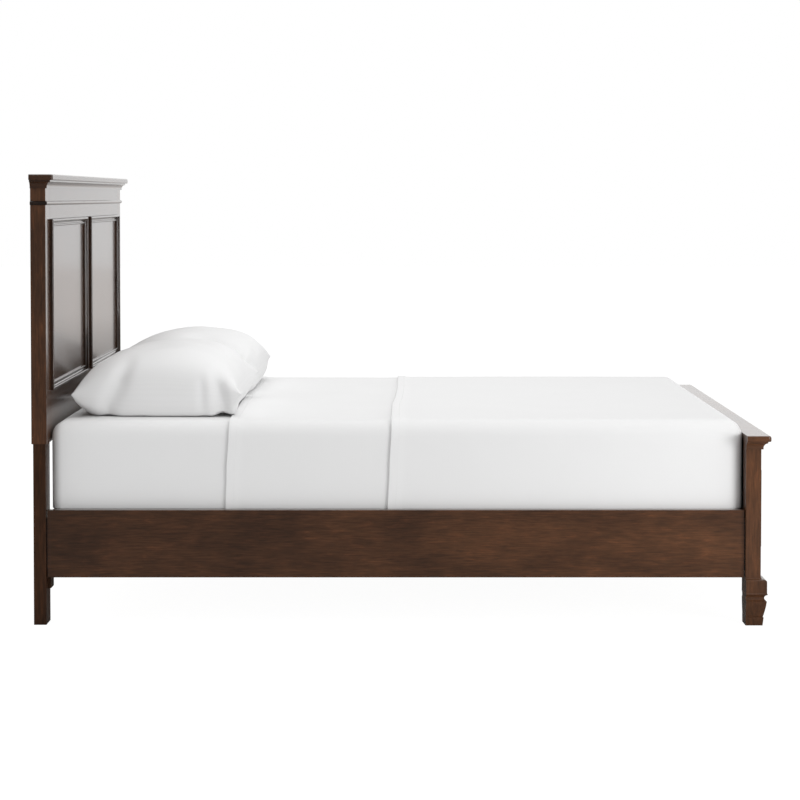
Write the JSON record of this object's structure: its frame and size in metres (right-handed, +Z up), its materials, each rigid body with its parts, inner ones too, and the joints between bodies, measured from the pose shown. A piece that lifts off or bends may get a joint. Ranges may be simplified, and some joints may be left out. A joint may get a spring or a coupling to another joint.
{
  "type": "panelled wooden bed",
  "caption": "Queen bed with a tall panelled headboard, low footboard, side rails, slats, foundation, mattress with tucked white bedding, and two pillows.",
  "frame": {"origin": "on the floor under the middle of the bed's length and width", "axes": "+X from the headboard to the footboard, +Y to the sleeper's left (lying on the back with the head at the headboard), +Z up"},
  "size_m": [2.171, 1.672, 1.327],
  "materials": {
    "dark_wood": "dark espresso brown stain under satin lacquer",
    "slat_wood": "planed pale softwood",
    "zinc_steel": "zinc plated",
    "level_foot": "black moulded",
    "foundation_cover": "woven cover",
    "mattress_ticking": "plain ticking",
    "sheet_cotton": "smooth white cotton percale",
    "coverlet_cotton": "smooth white cotton, slightly heavier",
    "pillow_cotton": "soft white cotton pillowcase"
  },
  "bodies": {
    "bed_frame": {"footboard_bottom_rail": "dark_wood", "footboard_cap": "dark_wood", "footboard_crown_front": "dark_wood", "footboard_crown_left": "dark_wood", "footboard_crown_right": "dark_wood", "footboard_foot_left": "dark_wood", "footboard_foot_right": "dark_wood", "footboard_moulding_left": "dark_wood", "footboard_moulding_right": "dark_wood", "footboard_mullion": "dark_wood", "footboard_panel_left": "dark_wood", "footboard_panel_right": "dark_wood", "footboard_post_left": "dark_wood", "footboard_post_right": "dark_wood", "footboard_top_rail": "dark_wood", "headboard_bead_front": "dark_wood", "headboard_bead_left": "dark_wood", "headboard_bead_right": "dark_wood", "headboard_bottom_rail": "dark_wood", "headboard_cap": "dark_wood", "headboard_crown_front": "dark_wood", "headboard_crown_left": "dark_wood", "headboard_crown_right": "dark_wood", "headboard_leg_left": "dark_wood", "headboard_leg_right": "dark_wood", "headboard_moulding_left": "dark_wood", "headboard_moulding_right": "dark_wood", "headboard_mullion": "dark_wood", "headboard_panel_left": "dark_wood", "headboard_panel_right": "dark_wood", "headboard_post_left": "dark_wood", "headboard_post_right": "dark_wood", "headboard_top_rail": "dark_wood", "post_slot_plates": "zinc_steel", "rail_block_left": "dark_wood", "rail_block_right": "dark_wood", "rail_hook_plates": "zinc_steel", "side_rail_left": "dark_wood", "side_rail_right": "dark_wood", "slat_1": "slat_wood", "slat_2": "slat_wood", "slat_3": "slat_wood", "slat_4": "slat_wood", "slat_5": "slat_wood", "slat_cleat_left": "slat_wood", "slat_cleat_right": "slat_wood", "slat_screws": "zinc_steel", "support_leg_1": "slat_wood", "support_leg_2": "slat_wood", "support_leg_3": "slat_wood"},
    "foundation": {"foundation": "foundation_cover"},
    "mattress": {"mattress": "mattress_ticking", "fitted_sheet": "sheet_cotton", "flat_sheet": "sheet_cotton", "coverlet": "coverlet_cotton"},
    "pillow_left": {"pillow_left": "pillow_cotton"},
    "pillow_right": {"pillow_right": "pillow_cotton"},
    "level_foot_1": {"level_foot_1": "level_foot"},
    "level_foot_2": {"level_foot_2": "level_foot"},
    "level_foot_3": {"level_foot_3": "level_foot"}
  },
  "joints": [
    {"name": "foundation_lift", "type": "slide", "parent": "bed_frame", "child": "foundation", "axis": [0, 0, 1], "range_m": [0, 0.05]},
    {"name": "mattress_lift", "type": "slide", "parent": "foundation", "child": "mattress", "axis": [0, 0, 1], "range_m": [0, 0.06]},
    {"name": "pillow_left_lift", "type": "slide", "parent": "mattress", "child": "pillow_left", "axis": [0, 0, 1], "range_m": [0, 0.3]},
    {"name": "pillow_right_lift", "type": "slide", "parent": "mattress", "child": "pillow_right", "axis": [0, 0, 1], "range_m": [0, 0.3]},
    {"name": "level_foot_1_screw", "type": "slide", "parent": "bed_frame", "child": "level_foot_1", "axis": [0, 0, 1], "range_m": [0, 0.008]},
    {"name": "level_foot_2_screw", "type": "slide", "parent": "bed_frame", "child": "level_foot_2", "axis": [0, 0, 1], "range_m": [0, 0.008]},
    {"name": "level_foot_3_screw", "type": "slide", "parent": "bed_frame", "child": "level_foot_3", "axis": [0, 0, 1], "range_m": [0, 0.008]}
  ]
}
